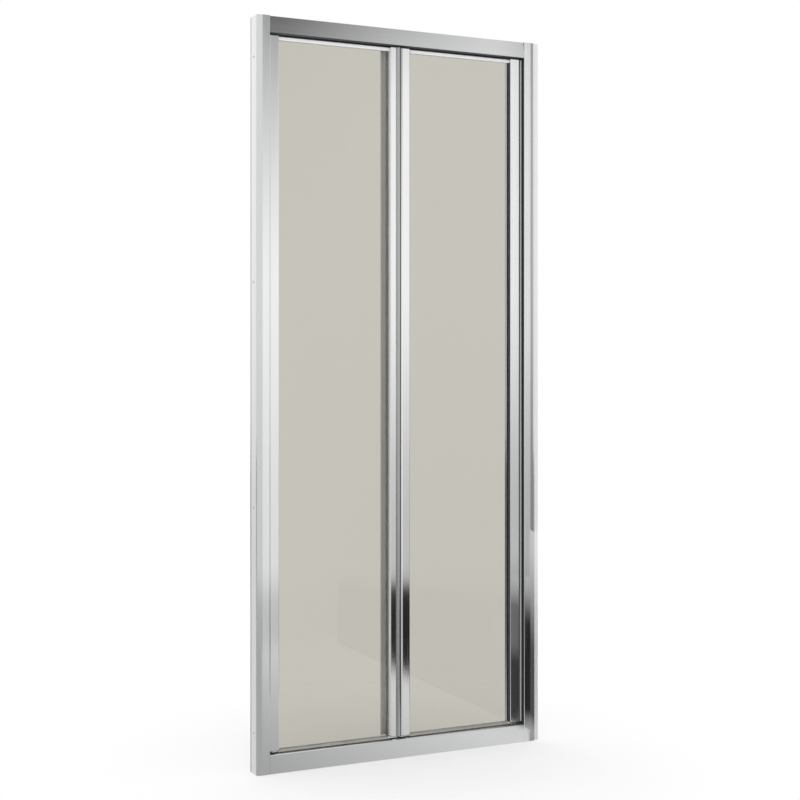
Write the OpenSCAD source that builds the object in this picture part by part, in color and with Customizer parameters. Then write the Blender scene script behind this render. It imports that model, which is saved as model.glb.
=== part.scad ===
// Bifold shower door: two glass leaves that fold into the shower inside an aluminium frame.
// Millimetres. +X is right as seen from outside, +Y goes into the shower and +Z is up.
// The origin is the middle of the sill's underside. The right leaf swings on fixed pivots, the left
// leaf hangs on it by a hinge barrel, and its lead upright runs on guide wheels in the two rails.

/* [Doorway] */
// Width from wall to wall
frame_w = 800; // [700:5:1000]
// Height of the frame
frame_h = 1850; // [1600:10:2000]
// Depth of the frame, front to back
frame_d = 46; // [45:1:60]

/* [Frame profiles] */
// Width of a jamb, seen from the front
jamb_w = 33.5; // [33:0.5:40]
// Width of the flat strip of a jamb, beside the opening
jamb_flat = 19.3; // [17:0.1:21]
// How far the bowed strip of a jamb drops back towards the wall
jamb_bow = 4; // [2.5:0.5:5]
// Height of the head rail
head_h = 42.5; // [36:0.5:60]
// How far the top of the head rail's front leans back
head_lean = 3; // [0:0.5:3]
// Height of the sill rail
sill_h = 46.5; // [40:0.5:60]
// Height of the sill at its back, where it is lower and lets water run back
sill_back_h = 40; // [36:0.5:42]
// Wall of the jambs and rails
profile_t = 2; // [1.6:0.1:2.2]
// Radius of the long outer edges of the profiles
edge_r = 1.2; // [0.6:0.1:1.4]
// Width of the guide groove in the head and the sill
groove_w = 16; // [15:0.5:18]
// Depth of the guide groove
groove_depth = 14; // [13:0.5:16]
// Distance of the outer jamb screws from the jambs' ends
jamb_screw_end = 200; // [120:10:400]

/* [Wall channels] */
// Length of a wall channel's legs
channel_leg = 28; // [27:0.5:28.5]
// Thickness of a wall channel
channel_t = 1.6; // [1.2:0.1:2]
// Width of the left wall channel that shows beside its jamb
left_show = 0; // [0:0.5:12]
// Width of the right wall channel that shows beside its jamb
right_show = 12.5; // [0:0.5:14]
// Radius of the holes for the wall screws
wall_hole_r = 2.75; // [2.25:0.25:3.25]
// Height of the lowest wall screw, and distance of the highest from the top
wall_hole_end = 100; // [60:5:200]
// Distance between the two middle wall screws
wall_hole_mid = 550; // [300:10:800]

/* [Leaves] */
// Depth of the uprights of the leaves
leaf_d = 32; // [31:0.5:36]
// Width of the upright at the pivot
pivot_stile_w = 26.5; // [26.5:0.5:30]
// Width of the upright that carries the hinge barrel
barrel_stile_w = 26.5; // [24:0.5:32]
// Width of the upright with the finger lip
handle_stile_w = 16; // [15:0.5:20]
// Width of the upright that closes on the left jamb
lead_stile_w = 23.7; // [23:0.1:27]
// Wall of the uprights
stile_t = 1.8; // [1.5:0.1:2]
// Gap between the head rail and the leaves
leaf_head_gap = 4.5; // [4:0.1:6]
// Gap between the leaves and the sill rail
leaf_sill_gap = 7.6; // [6.5:0.1:9]
// Gap between the left jamb and the lead upright
lead_gap = 2.8; // [2.6:0.1:3.2]
// Gap between the pivot upright and the right jamb
pivot_gap = 11.7; // [10.5:0.1:12]
// Reach of the finger lip past its upright
lip_reach = 12; // [8:0.5:16]
// Thickness of the finger lip
lip_t = 2.5; // [2:0.1:3]
// Height of the trim along the top of each glass
trim_h = 8.5; // [6:0.5:12]

/* [Glass] */
// Thickness of the glass
glass_t = 5; // [4:0.5:6]
// How far the glass is set back behind the leaf's front
glass_set = 10; // [8:0.5:12]
// Depth of glass held inside an upright
glass_bite = 5; // [4:0.5:5]
// Thickness of the glazing gasket
gasket_t = 1.5; // [1:0.1:2]

/* [Hinge] */
// Radius of the hinge barrel
barrel_r = 5.8; // [5:0.1:5.9]
// Gap between the two uprights that meet at the hinge
hinge_gap = 12; // [12:0.5:14]
// Radius of the hinge pins
hinge_pin_r = 2.5; // [2:0.1:3]
// Width of the sloped strip beside the barrel
slope_w = 6; // [4:0.5:10]
// How far that strip slopes back towards the barrel
slope_drop = 1; // [0.5:0.1:1.2]
// Length of each knuckle
knuckle_len = 60; // [45:1:80]
// Distance of the outer knuckles from the ends of the leaf
knuckle_end = 150; // [100:5:300]

/* [Pivot and guides] */
// Distance of the pivot from the right jamb
pivot_inset = 25.5; // [24.5:0.5:26]
// Distance of the guide wheels' axle from the left jamb
guide_inset = 10; // [9.5:0.5:12]
// Radius of the pivot pins
pivot_pin_r = 4; // [3.5:0.1:4]
// Radius of the guide wheels' axles
guide_pin_r = 3; // [2.5:0.1:3.2]
// Height of a guide wheel
wheel_h = 8; // [6:0.5:8.5]

/* [Hidden] */
$fn = 64;

// Clearances
run_fit = 0.05; // pin in its bore
slide_fit = 0.2; // block or plug in its profile
channel_fit = 0.3; // jamb over its channel
screw_fit = 0.1; // screw in its hole
face_gap = 0.2; // turning faces that pass each other
knuckle_gap = 0.3; // ends of the knuckles
over = 1; // how far a cut runs past a face

// Frame: jambs, channels and rails
bow_w = jamb_w - jamb_flat;
bow_r = (pow(bow_w, 2) + pow(jamb_bow, 2)) / (2 * jamb_bow);
jamb_inner_drop = bow_r - sqrt(pow(bow_r - profile_t, 2) - pow(bow_w, 2));
channel_half = frame_d / 2 - jamb_inner_drop - channel_fit;
left_open_x = -frame_w / 2 + left_show + jamb_w;
right_open_x = frame_w / 2 - right_show - jamb_w;
head_z = frame_h - head_h;
groove_back = profile_t; // step down from the groove's front lip to its back lip in the sill
rib_w = 2;
rib_set = 4; // outer rib, from the jamb's edge at the wall
rib_pitch = 9;
rib_us = [jamb_w - rib_set - rib_pitch, jamb_w - rib_set]; // ribs that bear on the channel's back leg
jamb_screw_u = (rib_us[0] + rib_us[1] + rib_w) / 2;
jamb_screw_zs = [jamb_screw_end, frame_h / 2, frame_h - jamb_screw_end];
jamb_screw_r = 1.75;
jamb_screw_tip = 6; // reach of a jamb screw inside the channel
screw_head_h = 1.8;
screw_head_r = 3.5;
cap_r = 6;
cap_h = 4.5;
port_r = 4; // round port in the rails that a corner screw cuts its thread in
port_sink = 0.4;
corner_screw_r = 1.95;
corner_head_h = 2.6;
corner_screw_len = 25;
port_y = frame_d / 2 - profile_t - port_r + port_sink;
sill_port_z = 14;
head_port_z = frame_h - head_h / 2;
plug_h = 10; // height of the plug in a channel's top
weep_len = 20;
weep_r = 2;
weep_n = 4;
weep_xs = [for (i = [1:weep_n]) left_open_x + i * (right_open_x - left_open_x) / (weep_n + 1)];

// Leaves
leaf_z0 = sill_h + leaf_sill_gap;
leaf_z1 = head_z - leaf_head_gap;
leaf_front = -leaf_d / 2;
pivot_x = right_open_x - pivot_inset;
guide_x = left_open_x + guide_inset;
hinge_x = (pivot_x + guide_x) / 2;
pivot_stile_x = right_open_x - pivot_gap - pivot_stile_w; // glass edge of each upright
barrel_stile_x = hinge_x + hinge_gap / 2 + barrel_stile_w;
handle_stile_x = hinge_x - hinge_gap / 2 - handle_stile_w;
lead_stile_x = left_open_x + lead_gap + lead_stile_w;
glass_y0 = leaf_front + glass_set;
glass_y1 = glass_y0 + glass_t;
rebate_slack = 1;
rebate = glass_bite + rebate_slack; // depth of the groove that holds the glass edge
rebate_y0 = glass_y0 - gasket_t;
rebate_y1 = glass_y1 + gasket_t;
gasket_lip = 0.8;
trim_t = 1.5;
trim_side = 3;
glass_top = leaf_z1 - trim_t;
wiper_base = 1.5;
wiper_clip = 2;
wiper_gap = 0.6;
blade_t = 3;
strip_set = 1; // magnets and seal, behind the leaf's front
magnet_t = 1;
magnet_y0 = leaf_front + strip_set;
magnet_w = 8;
seal_t = 4;
seal_gap = 3.5; // between the seal and the right jamb
seal_w = pivot_gap - seal_gap;
bead_r = 2.2; // rolled edge of the finger lip

// Hinge
knuckle_zs = [leaf_z0 + knuckle_end, (leaf_z0 + leaf_z1) / 2, leaf_z1 - knuckle_end];
neck = 6; // depth of the web between the barrel and its upright
neck_root = (edge_r + stile_t) / 2; // how far the web runs into the upright's wall
bracket_t = 2.5;
bracket_y1 = 12;
bracket_screw_y = 4;
bracket_screw_z = 18;
bracket_screw_r = 1.9;
bracket_screw_len = 7;
hinge_pin_grip = 15; // length of a hinge pin inside the barrel, above and below its knuckle

// Pivots and guides
cap_t = 1.5; // flange of an end plug
plug_depth = 18;
pin_depth = 25; // length of a pin inside its upright
block_drop = 0.5;
block_half = 20;
block_screw_dxs = [-13.5, 17];
block_screw_r = 2;
block_screw_out = 4;
washer_t = 1.2;
washer_r = 7;
pivot_collar_r = 6;
groove_floor_gap = 2;
wheel_play = 0.5;
wheel_r = groove_w / 2 - wheel_play;
wheel_in = 2.5; // how far a wheel sits inside the groove's mouth
wheel_edge = 0.8;
guide_collar_r = 4.5;
guide_head_h = 1.5;
wheel_gap = 0.15;
sill_block_z = sill_h - block_drop;

// Helpers ------------------------------------------------------------------------------------------

// A rectangle from x = 0, centred on y = 0, whose two corners at x = 0 are round
module near_rounded(w, h, r) {
    translate([r, -h / 2]) square([w - r, h]);
    translate([0, -h / 2 + r]) square([w / 2, h - 2 * r]);
    for (s = [-1, 1]) translate([r, s * (h / 2 - r)]) circle(r);
}

// A rectangle from x = 0, centred on y = 0, with four round corners
module soft_rect(w, h, r) {
    translate([r, -h / 2]) square([w - 2 * r, h]);
    translate([0, -h / 2 + r]) square([w, h - 2 * r]);
    for (s = [-1, 1], x = [r, w - r]) translate([x, s * (h / 2 - r)]) circle(r);
}

// Sweeps a section whose x and y are the door's Y and Z along the door's X
module along_x(x0, x1) {
    translate([x0, 0, 0]) rotate([90, 0, 90]) linear_extrude(x1 - x0) children();
}

module upright(z0, z1) {
    translate([0, 0, z0]) linear_extrude(z1 - z0) children();
}

module rod_x(r, x0, x1, y, z) {
    translate([x0, y, z]) rotate([0, 90, 0]) cylinder(r = r, h = x1 - x0);
}

module rod_y(r, y0, y1, x, z) {
    translate([x, y0, z]) rotate([-90, 0, 0]) cylinder(r = r, h = y1 - y0);
}

module rod_z(r, z0, z1, x, y) {
    translate([x, y, z0]) cylinder(r = r, h = z1 - z0);
}

// Jamb side: x = 0 is the face beside the opening and +x points to the wall
module at_left() {
    translate([left_open_x, 0, 0]) mirror([1, 0, 0]) children();
}

module at_right() {
    translate([right_open_x, 0, 0]) children();
}

// Upright of a leaf: x = 0 is its glass edge and +x points away from the glass
module leaf_left(x) {
    translate([x, 0, 0]) mirror([1, 0, 0]) children();
}

module leaf_right(x) {
    translate([x, 0, 0]) children();
}

// The bottom copy of something that stands at z = 0 on an end, and the top copy
module both_ends() {
    translate([0, 0, leaf_z1]) children();
    translate([0, 0, leaf_z0]) mirror([0, 0, 1]) children();
}

// Frame --------------------------------------------------------------------------------------------

module channel_2d(show) {
    translate([jamb_w + show - channel_leg, -channel_half]) difference() {
        square([channel_leg, 2 * channel_half]);
        translate([-over, channel_t])
            square([channel_leg - channel_t + over, 2 * (channel_half - channel_t)]);
    }
}

module wall_channel(show) {
    wall_u = jamb_w + show;
    difference() {
        upright(0, frame_h) channel_2d(show);
        for (z = [wall_hole_end, frame_h - wall_hole_end, (frame_h - wall_hole_mid) / 2,
                  (frame_h + wall_hole_mid) / 2])
            rod_x(wall_hole_r, wall_u - channel_t - over, wall_u + over, 0, z);
        for (z = jamb_screw_zs)
            rod_y(jamb_screw_r + screw_fit, channel_half - channel_t - over, channel_half + over,
                jamb_screw_u, z);
    }
}

module left_wall_channel() {
    color("gainsboro") at_left() wall_channel(left_show);
}

module right_wall_channel() {
    color("gainsboro") at_right() wall_channel(right_show);
}

module bowed_strip(inset, reach) {
    intersection() {
        translate([jamb_flat, -frame_d / 2]) square([bow_w + reach, frame_d - inset]);
        translate([jamb_flat, -frame_d / 2 + bow_r]) circle(bow_r - inset);
    }
}

module jamb_2d() {
    difference() {
        union() {
            near_rounded(jamb_flat, frame_d, edge_r);
            bowed_strip(0, 0);
        }
        translate([profile_t, -frame_d / 2 + profile_t])
            square([jamb_flat - profile_t, frame_d - 2 * profile_t]);
        bowed_strip(profile_t, over);
    }
    for (u = rib_us)
        translate([u, channel_half + channel_fit])
            square([rib_w, frame_d / 2 - profile_t / 2 - channel_half - channel_fit]);
}

module at_corner_screws() {
    for (z = [sill_port_z, head_port_z], s = [-1, 1]) translate([0, s * port_y, z]) children();
}

module jamb() {
    difference() {
        upright(0, frame_h) jamb_2d();
        at_corner_screws() rod_x(corner_screw_r + screw_fit, -over, profile_t + over, 0, 0);
        for (z = jamb_screw_zs)
            rod_y(jamb_screw_r + screw_fit, frame_d / 2 - profile_t - over, frame_d / 2 + over,
                jamb_screw_u, z);
    }
}

module left_jamb() {
    color("silver") at_left() jamb();
}

module right_jamb() {
    color("silver") at_right() jamb();
}

// Rail section with its guide groove open upwards, seen from its end; z = 0 is the closed side, and
// there the front is set back by the lean
module rail_2d(h, back_h, back_lip, port_z, lean) {
    half = frame_d / 2;
    g = groove_w / 2;
    tilt = atan(lean / (h - 2 * edge_r));
    near = [edge_r - half + lean, edge_r]; // centres of the front's two round edges
    far = [edge_r - half, h - edge_r];
    out = [-cos(tilt), -sin(tilt)];
    wall_x = edge_r - half + (profile_t - edge_r) / cos(tilt); // inside of the front wall at far's height
    difference() {
        union() {
            difference() {
                union() {
                    polygon([near + edge_r * out, near - [0, edge_r], [half, 0], [half, back_h],
                        [g + profile_t, h - back_lip], [g, h - back_lip], [g, h - groove_depth],
                        [-g, h - groove_depth], [-g, h], far + [0, edge_r], far + edge_r * out]);
                    for (c = [near, far]) translate(c) circle(edge_r);
                }
                polygon([[wall_x + (h - edge_r - profile_t) * tan(tilt), profile_t],
                    [-g - profile_t, profile_t], [-g - profile_t, h - profile_t],
                    [wall_x + (profile_t - edge_r) * tan(tilt), h - profile_t]]);
                translate([-g, profile_t]) square([groove_w, h - groove_depth - 2 * profile_t]);
                translate([g + profile_t, profile_t])
                    square([half - g - 2 * profile_t, back_h - 2 * profile_t]);
            }
            for (s = [-1, 1]) translate([s * port_y, port_z]) circle(port_r);
        }
        for (s = [-1, 1]) translate([s * port_y, port_z]) circle(corner_screw_r + run_fit);
    }
}

module weep_slot(x, y0, y1, z) {
    for (s = [-1, 1]) rod_y(weep_r, y0, y1, x + s * (weep_len / 2 - weep_r), z);
    translate([x - weep_len / 2 + weep_r, y0, z - weep_r]) cube([weep_len - 2 * weep_r, y1 - y0, 2 * weep_r]);
}

module sill_rail() {
    g = groove_w / 2;
    color("silver") difference() {
        along_x(left_open_x, right_open_x) rail_2d(sill_h, sill_back_h, groove_back, sill_port_z, 0);
        for (x = weep_xs) {
            weep_slot(x, g - over, g + profile_t + over, sill_h - groove_depth + weep_r + over);
            weep_slot(x, frame_d / 2 - profile_t - over, frame_d / 2 + over, profile_t + weep_r + over);
        }
        for (dx = block_screw_dxs)
            rod_z(block_screw_r + screw_fit, sill_h - groove_depth - profile_t - over,
                sill_h - groove_depth + over, pivot_x + dx, 0);
    }
}

module head_rail() {
    color("silver") difference() {
        translate([0, 0, frame_h]) mirror([0, 0, 1])
            along_x(left_open_x, right_open_x) rail_2d(head_h, head_h, 0, head_h / 2, head_lean);
        for (dx = block_screw_dxs)
            rod_z(block_screw_r + screw_fit, head_z + groove_depth - over,
                head_z + groove_depth + profile_t + over, pivot_x + dx, 0);
    }
}

module corner_screw() {
    rod_x(screw_head_r, profile_t, profile_t + corner_head_h, 0, 0);
    rod_x(corner_screw_r, profile_t - corner_screw_len, profile_t + corner_head_h / 2, 0, 0);
}

module corner_screws() {
    color("gray") {
        at_left() at_corner_screws() corner_screw();
        at_right() at_corner_screws() corner_screw();
    }
}

module jamb_screw() {
    rod_y(screw_head_r, frame_d / 2, frame_d / 2 + screw_head_h, jamb_screw_u, 0);
    rod_y(jamb_screw_r, channel_half - jamb_screw_tip, frame_d / 2 + screw_head_h / 2, jamb_screw_u, 0);
}

module jamb_screws() {
    color("gray") for (z = jamb_screw_zs) translate([0, 0, z]) {
        at_left() jamb_screw();
        at_right() jamb_screw();
    }
}

// A domed push-on cap over a jamb screw's head
module screw_cap() {
    dome_r = (pow(cap_r, 2) + pow(cap_h, 2)) / (2 * cap_h);
    translate([jamb_screw_u, frame_d / 2, 0]) rotate([-90, 0, 0]) rotate_extrude() difference() {
        intersection() {
            translate([0, cap_h - dome_r]) circle(dome_r);
            square([cap_r, cap_h]);
        }
        square([screw_head_r + slide_fit, screw_head_h + slide_fit]);
    }
}

module screw_caps() {
    color("lightgray") for (z = jamb_screw_zs) translate([0, 0, z]) {
        at_left() screw_cap();
        at_right() screw_cap();
    }
}

module jamb_top_plug(show) {
    reach = jamb_w + show - channel_t - profile_t;
    half = channel_half - channel_t - slide_fit;
    translate([profile_t, -half, frame_h - plug_h]) cube([reach, 2 * half, plug_h]);
}

module jamb_top_plugs() {
    color("dimgray") {
        at_left() jamb_top_plug(left_show);
        at_right() jamb_top_plug(right_show);
    }
}

// Pivot block, from its face in the groove's mouth at z = 0 down into the groove
module pivot_block() {
    half = groove_w / 2 - slide_fit;
    depth = groove_depth - block_drop;
    difference() {
        translate([-block_half, -half, -depth]) cube([block_half + pivot_inset, 2 * half, depth]);
        rod_z(pivot_pin_r + run_fit, -depth - over, over, 0, 0);
        for (dx = block_screw_dxs) {
            rod_z(block_screw_r + screw_fit, -depth - over, over, dx, 0);
            rod_z(screw_head_r + slide_fit, -screw_head_h - slide_fit, over, dx, 0);
        }
    }
}

module top_pivot_block() {
    color("dimgray") translate([pivot_x, 0, head_z + block_drop]) mirror([0, 0, 1]) pivot_block();
}

module bottom_pivot_block() {
    color("dimgray") translate([pivot_x, 0, sill_block_z]) pivot_block();
}

module pivot_block_screw() {
    top = -slide_fit;
    rod_z(screw_head_r, top - screw_head_h, top, 0, 0);
    rod_z(block_screw_r, -groove_depth - profile_t - block_screw_out, top - screw_head_h / 2, 0, 0);
}

module pivot_block_screws() {
    color("gray") for (dx = block_screw_dxs) {
        translate([pivot_x + dx, 0, head_z + block_drop]) mirror([0, 0, 1]) pivot_block_screw();
        translate([pivot_x + dx, 0, sill_block_z]) pivot_block_screw();
    }
}

module thrust_washer() {
    color("white") translate([pivot_x, 0, sill_block_z]) difference() {
        cylinder(r = washer_r, h = washer_t);
        rod_z(pivot_pin_r + screw_fit, -over, washer_t + over, 0, 0);
    }
}

module jamb_magnet() {
    color("whitesmoke") translate([left_open_x, magnet_y0, leaf_z0])
        cube([magnet_t, magnet_w, leaf_z1 - leaf_z0]);
}

// Uprights of the leaves ---------------------------------------------------------------------------

module stile_2d(w) {
    half = leaf_d / 2;
    difference() {
        soft_rect(w, leaf_d, edge_r);
        difference() {
            translate([stile_t, -half + stile_t]) square([w - 2 * stile_t, leaf_d - 2 * stile_t]);
            translate([0, rebate_y0 - stile_t])
                square([rebate + stile_t, rebate_y1 - rebate_y0 + 2 * stile_t]);
        }
        translate([-over, rebate_y0]) square([rebate + over, rebate_y1 - rebate_y0]);
    }
}

module leaf_extrusion() {
    upright(leaf_z0, leaf_z1) children();
}

module pivot_stile() {
    color("silver") leaf_right(pivot_stile_x) leaf_extrusion() stile_2d(pivot_stile_w);
}

module lead_stile() {
    color("silver") leaf_left(lead_stile_x) leaf_extrusion() stile_2d(lead_stile_w);
}

// The finger lip runs the full height behind the glass and ends in a rolled edge
module handle_stile() {
    lip_y = leaf_d / 2;
    color("silver") leaf_right(handle_stile_x) difference() {
        leaf_extrusion() {
            stile_2d(handle_stile_w);
            translate([-lip_reach, lip_y]) square([lip_reach + handle_stile_w, lip_t]);
            translate([edge_r, lip_y - edge_r]) square([handle_stile_w - 2 * edge_r, edge_r + lip_t / 2]);
            translate([-lip_reach, lip_y + lip_t - bead_r]) circle(bead_r);
        }
        for (z = knuckle_zs, s = [-1, 1])
            rod_x(bracket_screw_r + screw_fit, handle_stile_w - stile_t - over, handle_stile_w + over,
                bracket_screw_y, z + s * bracket_screw_z);
    }
}

// The barrel with its web, and its upright's section, whose front slopes back beside the barrel
module barrel_2d() {
    edge_x = hinge_x + hinge_gap / 2;
    translate([hinge_x, leaf_front]) circle(barrel_r);
    translate([hinge_x, leaf_front + slope_drop])
        square([hinge_gap / 2 + neck_root, neck - slope_drop]);
    difference() {
        leaf_left(barrel_stile_x) children();
        polygon([[edge_x - over, leaf_front - over], [edge_x + slope_w, leaf_front - over],
            [edge_x + slope_w, leaf_front], [edge_x, leaf_front + slope_drop],
            [edge_x - over, leaf_front + slope_drop]]);
    }
}

module barrel_stile() {
    color("silver") difference() {
        leaf_extrusion() barrel_2d() stile_2d(barrel_stile_w);
        for (z = knuckle_zs)
            translate([hinge_x - barrel_r - over, leaf_front - barrel_r - over, z - knuckle_len / 2])
                cube([barrel_r + over + hinge_gap / 2, 2 * (barrel_r + over), knuckle_len]);
        rod_z(hinge_pin_r + run_fit, leaf_z0 - over, leaf_z1 + over, hinge_x, leaf_front);
    }
}

// Hinge --------------------------------------------------------------------------------------------

module hinge_knuckle() {
    half = knuckle_len / 2 - knuckle_gap;
    side = -hinge_gap / 2;
    difference() {
        upright(-half, half) {
            circle(barrel_r);
            translate([side, 0]) square([-side, neck]);
            translate([side, 0]) square([bracket_t, bracket_y1 - leaf_front]);
        }
        rod_z(hinge_pin_r + run_fit, -half - over, half + over, 0, 0);
        for (s = [-1, 1])
            rod_x(bracket_screw_r + screw_fit, side - over, side + bracket_t + over,
                bracket_screw_y - leaf_front, s * bracket_screw_z);
    }
}

module hinge_knuckles() {
    color("silver") for (z = knuckle_zs) translate([hinge_x, leaf_front, z]) hinge_knuckle();
}

module knuckle_screws() {
    seat = hinge_x - hinge_gap / 2 + bracket_t;
    color("gray") for (z = knuckle_zs, s = [-1, 1])
        translate([seat, bracket_screw_y, z + s * bracket_screw_z]) {
            rod_x(screw_head_r, 0, screw_head_h, 0, 0);
            rod_x(bracket_screw_r, -bracket_screw_len, screw_head_h / 2, 0, 0);
        }
}

module hinge_pins() {
    reach = knuckle_len / 2 + hinge_pin_grip;
    color("gray") for (z = knuckle_zs) rod_z(hinge_pin_r, z - reach, z + reach, hinge_x, leaf_front);
}

// End plugs ----------------------------------------------------------------------------------------

// Block of an end plug, inside the chamber below z = 0
module plug_block(w, depth) {
    u0 = rebate + stile_t + slide_fit;
    half = leaf_d / 2 - stile_t - slide_fit;
    translate([u0, -half, -depth]) cube([w - stile_t - slide_fit - u0, 2 * half, depth + cap_t / 2]);
}

module stile_plug(w, depth) {
    linear_extrude(cap_t) soft_rect(w, leaf_d, edge_r);
    plug_block(w, depth);
}

// The same plug, bored for a pin that stands at u
module bored_plug(w, u, r) {
    difference() {
        stile_plug(w, pin_depth);
        rod_z(r + run_fit, -pin_depth - over, cap_t + over, u, 0);
    }
}

module pivot_stile_plugs() {
    color("dimgray") both_ends()
        leaf_right(pivot_stile_x) bored_plug(pivot_stile_w, pivot_x - pivot_stile_x, pivot_pin_r);
}

module lead_stile_plugs() {
    color("dimgray") both_ends()
        leaf_left(lead_stile_x) bored_plug(lead_stile_w, lead_stile_x - guide_x, guide_pin_r);
}

module handle_stile_plugs() {
    color("dimgray") both_ends() leaf_right(handle_stile_x) stile_plug(handle_stile_w, plug_depth);
}

// These also close the ends of the hinge barrel
module barrel_stile_plugs() {
    color("dimgray") both_ends() {
        leaf_left(barrel_stile_x) plug_block(barrel_stile_w, plug_depth);
        linear_extrude(cap_t) barrel_2d() soft_rect(barrel_stile_w, leaf_d, edge_r);
    }
}

// Pins and wheels ----------------------------------------------------------------------------------

// Pivot pin from z = 0 at the upright's end: collar up to the block, then the journal
module pivot_pin(collar_top, tip) {
    rod_z(pivot_pin_r, -pin_depth, tip, 0, 0);
    rod_z(pivot_collar_r, cap_t, collar_top, 0, 0);
}

module pivot_pins() {
    head_tip = leaf_head_gap + groove_depth - groove_floor_gap;
    sill_tip = leaf_sill_gap + groove_depth - groove_floor_gap;
    color("gray") {
        translate([pivot_x, 0, leaf_z1]) pivot_pin(leaf_head_gap + block_drop - face_gap, head_tip);
        translate([pivot_x, 0, leaf_z0]) mirror([0, 0, 1])
            pivot_pin(leaf_sill_gap + block_drop - washer_t - face_gap, sill_tip);
    }
}

// Guide axle from z = 0 at the upright's end: collar, wheel journal and riveted head
module guide_pin(gap) {
    wheel_z = gap + wheel_in;
    head_base = wheel_z + wheel_h + wheel_gap;
    rod_z(guide_pin_r, -pin_depth, head_base + guide_head_h / 2, 0, 0);
    rod_z(guide_collar_r, cap_t, wheel_z - wheel_gap, 0, 0);
    rod_z(guide_collar_r, head_base, head_base + guide_head_h, 0, 0);
}

module guide_pins() {
    color("gray") {
        translate([guide_x, 0, leaf_z1]) guide_pin(leaf_head_gap);
        translate([guide_x, 0, leaf_z0]) mirror([0, 0, 1]) guide_pin(leaf_sill_gap);
    }
}

// Guide wheel with chamfered rims, from its lower face at z = 0
module guide_wheel() {
    bore = guide_pin_r + run_fit;
    rotate_extrude() polygon([[bore, 0], [wheel_r - wheel_edge, 0], [wheel_r, wheel_edge],
        [wheel_r, wheel_h - wheel_edge], [wheel_r - wheel_edge, wheel_h], [bore, wheel_h]]);
}

module top_guide_wheel() {
    color("ivory") translate([guide_x, 0, head_z + wheel_in]) guide_wheel();
}

module bottom_guide_wheel() {
    color("ivory") translate([guide_x, 0, sill_h - wheel_in - wheel_h]) guide_wheel();
}

// Glass and seals ----------------------------------------------------------------------------------

module glass_pane(x0, x1) {
    translate([x0 - glass_bite, glass_y0, leaf_z0])
        cube([x1 - x0 + 2 * glass_bite, glass_t, glass_top - leaf_z0]);
}

module left_glass() {
    color("lightgray", 0.4) glass_pane(lead_stile_x, handle_stile_x);
}

module right_glass() {
    color("lightgray", 0.4) glass_pane(barrel_stile_x, pivot_stile_x);
}

// A channel that caps the glass between two uprights
module top_trim(x0, x1) {
    depth = glass_t + 2 * trim_side;
    difference() {
        along_x(x0, x1) translate([glass_y0 - trim_side, leaf_z1 - trim_h / 2])
            soft_rect(depth, trim_h, edge_r);
        translate([x0 - over, glass_y0 - run_fit, leaf_z1 - trim_h - over])
            cube([x1 - x0 + 2 * over, glass_t + 2 * run_fit, trim_h - trim_t + over]);
    }
}

module left_top_trim() {
    color("silver") top_trim(lead_stile_x, handle_stile_x);
}

module right_top_trim() {
    color("silver") top_trim(barrel_stile_x, pivot_stile_x);
}

// A clip on the glass's lower edge with a blade that sweeps just above the sill
module wiper(x0, x1) {
    mid_y = (glass_y0 + glass_y1) / 2;
    difference() {
        along_x(x0, x1) {
            translate([rebate_y0, leaf_z0 - wiper_base])
                square([rebate_y1 - rebate_y0, wiper_base + wiper_clip]);
            translate([mid_y - blade_t / 2, sill_h + wiper_gap])
                square([blade_t, leaf_sill_gap - wiper_gap]);
        }
        translate([x0 - over, glass_y0 - run_fit, leaf_z0])
            cube([x1 - x0 + 2 * over, glass_t + 2 * run_fit, wiper_clip + over]);
    }
}

module left_wiper() {
    color("dimgray") wiper(lead_stile_x, handle_stile_x);
}

module right_wiper() {
    color("dimgray") wiper(barrel_stile_x, pivot_stile_x);
}

// Glazing gasket: wraps the glass edge inside the upright and shows as a thin lip
module gasket() {
    upright(leaf_z0 + wiper_clip, leaf_z1 - trim_h) difference() {
        translate([-gasket_lip, rebate_y0]) square([rebate + gasket_lip, rebate_y1 - rebate_y0]);
        translate([-gasket_lip - over, glass_y0]) square([glass_bite + gasket_lip + over, glass_t]);
    }
}

module left_gaskets() {
    color("darkgray") {
        leaf_left(lead_stile_x) gasket();
        leaf_right(handle_stile_x) gasket();
    }
}

module right_gaskets() {
    color("darkgray") {
        leaf_left(barrel_stile_x) gasket();
        leaf_right(pivot_stile_x) gasket();
    }
}

// Fin that hides the gap between the pivot upright and the right jamb
module pivot_seal() {
    y = leaf_front + strip_set + seal_t / 2;
    color("gainsboro") leaf_extrusion() translate([right_open_x - pivot_gap, y]) {
        translate([0, -seal_t / 2]) square([seal_w - seal_t / 2, seal_t]);
        translate([seal_w - seal_t / 2, 0]) circle(seal_t / 2);
    }
}

module lead_magnet() {
    color("whitesmoke") translate([left_open_x + lead_gap - magnet_t, magnet_y0, leaf_z0])
        cube([magnet_t, magnet_w, leaf_z1 - leaf_z0]);
}

// Assembly -----------------------------------------------------------------------------------------

left_wall_channel();
right_wall_channel();
left_jamb();
right_jamb();
head_rail();
sill_rail();
corner_screws();
jamb_screws();
screw_caps();
jamb_top_plugs();
top_pivot_block();
bottom_pivot_block();
pivot_block_screws();
thrust_washer();
jamb_magnet();
pivot_stile();
barrel_stile();
right_glass();
right_top_trim();
right_wiper();
right_gaskets();
pivot_seal();
pivot_pins();
hinge_pins();
pivot_stile_plugs();
barrel_stile_plugs();
lead_stile();
handle_stile();
left_glass();
left_top_trim();
left_wiper();
left_gaskets();
lead_magnet();
hinge_knuckles();
knuckle_screws();
guide_pins();
lead_stile_plugs();
handle_stile_plugs();
top_guide_wheel();
bottom_guide_wheel();
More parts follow.
